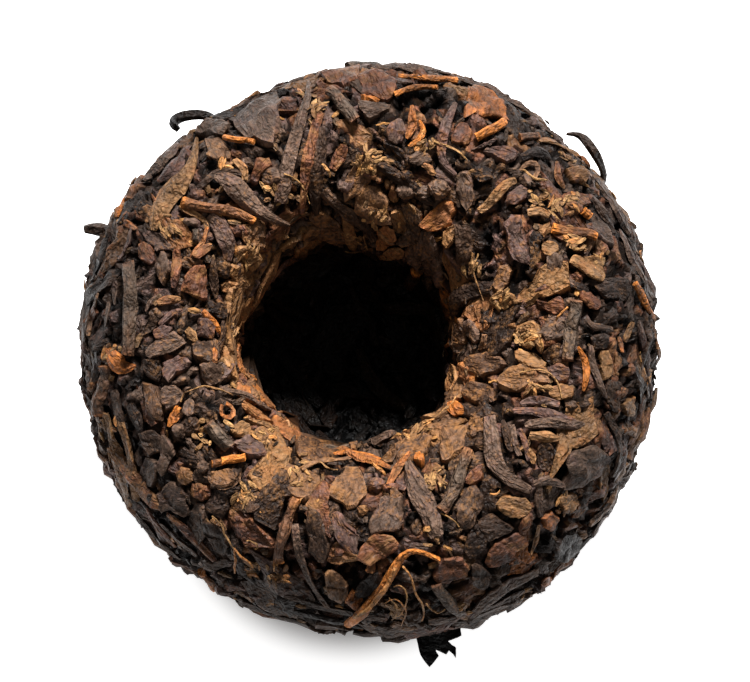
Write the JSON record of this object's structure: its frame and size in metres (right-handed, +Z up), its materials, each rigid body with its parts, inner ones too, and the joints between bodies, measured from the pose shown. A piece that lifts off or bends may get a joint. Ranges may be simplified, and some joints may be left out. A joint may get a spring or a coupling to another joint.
{
  "type": "pressed tea cake",
  "caption": "Bowl-shaped cake of dark pressed ripe tea leaf with a deep off-centre hollow, lying on its dome with the hollow up.",
  "frame": {"origin": "the middle of the small flat spot under the dome, which the cake rests on", "axes": "+Z up and out of the hollow; +X towards the right edge of the picture; +Y away from the viewer, towards its top edge"},
  "size_m": [0.0821, 0.0846, 0.0426],
  "materials": {
    "pressed_leaf": "satin",
    "brown_leaf": "satin",
    "stem": "satin",
    "golden_bud": "matte"
  },
  "bodies": {
    "root": {"tea_cake": "pressed_leaf"}
  },
  "joints": []
}
